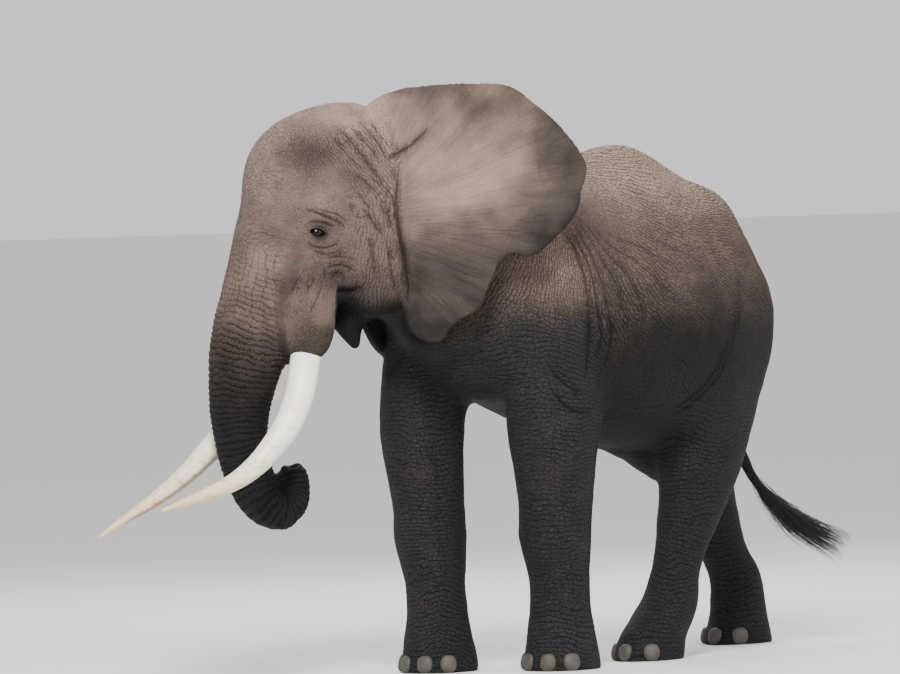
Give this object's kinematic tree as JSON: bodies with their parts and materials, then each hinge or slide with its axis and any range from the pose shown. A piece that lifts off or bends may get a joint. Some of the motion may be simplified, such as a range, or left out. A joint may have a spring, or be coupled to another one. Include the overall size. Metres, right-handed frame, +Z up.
{
  "type": "elephant",
  "caption": "Life-size still model of a large African bush elephant bull with long tusks, walking slowly with its head turned and the tip of its trunk curled.",
  "frame": {"origin": "middle of the bottom of the overall box, on the floor", "axes": "+Z up; the animal faces -Y, and its left side is +X"},
  "size_m": [2.1034, 5.4438, 3.6294],
  "materials": {
    "skin": "thick, dry, deeply wrinkled hide, dusty grey-brown above and dark grey below",
    "ivory": "smooth, satin, cream with brown stain towards the tips",
    "toenail": "matte, horny, pale grey-brown with fine ridges",
    "eye": "wet gloss, dark brown",
    "tail_hair": "coarse, wiry, near-black hair"
  },
  "bodies": {
    "root": {"barrel": "skin", "chest": "skin", "ear_left": "skin", "ear_right": "skin", "eye_left": "eye", "eye_right": "eye", "foreleg_left_foot": "skin", "foreleg_left_forearm": "skin", "foreleg_left_shank": "skin", "foreleg_left_shoulder": "skin", "foreleg_right_foot": "skin", "foreleg_right_forearm": "skin", "foreleg_right_shank": "skin", "foreleg_right_shoulder": "skin", "head": "skin", "hindleg_left_foot": "skin", "hindleg_left_shank": "skin", "hindleg_left_thigh": "skin", "hindleg_right_foot": "skin", "hindleg_right_shank": "skin", "hindleg_right_thigh": "skin", "hindquarters": "skin", "lower_jaw": "skin", "neck": "skin", "tail": "skin", "tail_tuft": "tail_hair", "toenail_fore_left_1": "toenail", "toenail_fore_left_2": "toenail", "toenail_fore_left_3": "toenail", "toenail_fore_left_4": "toenail", "toenail_fore_right_1": "toenail", "toenail_fore_right_2": "toenail", "toenail_fore_right_3": "toenail", "toenail_fore_right_4": "toenail", "toenail_hind_left_1": "toenail", "toenail_hind_left_2": "toenail", "toenail_hind_left_3": "toenail", "toenail_hind_right_1": "toenail", "toenail_hind_right_2": "toenail", "toenail_hind_right_3": "toenail", "trunk_lower": "skin", "trunk_middle": "skin", "trunk_tip": "skin", "trunk_upper": "skin", "tusk_left": "ivory", "tusk_right": "ivory"}
  },
  "joints": []
}
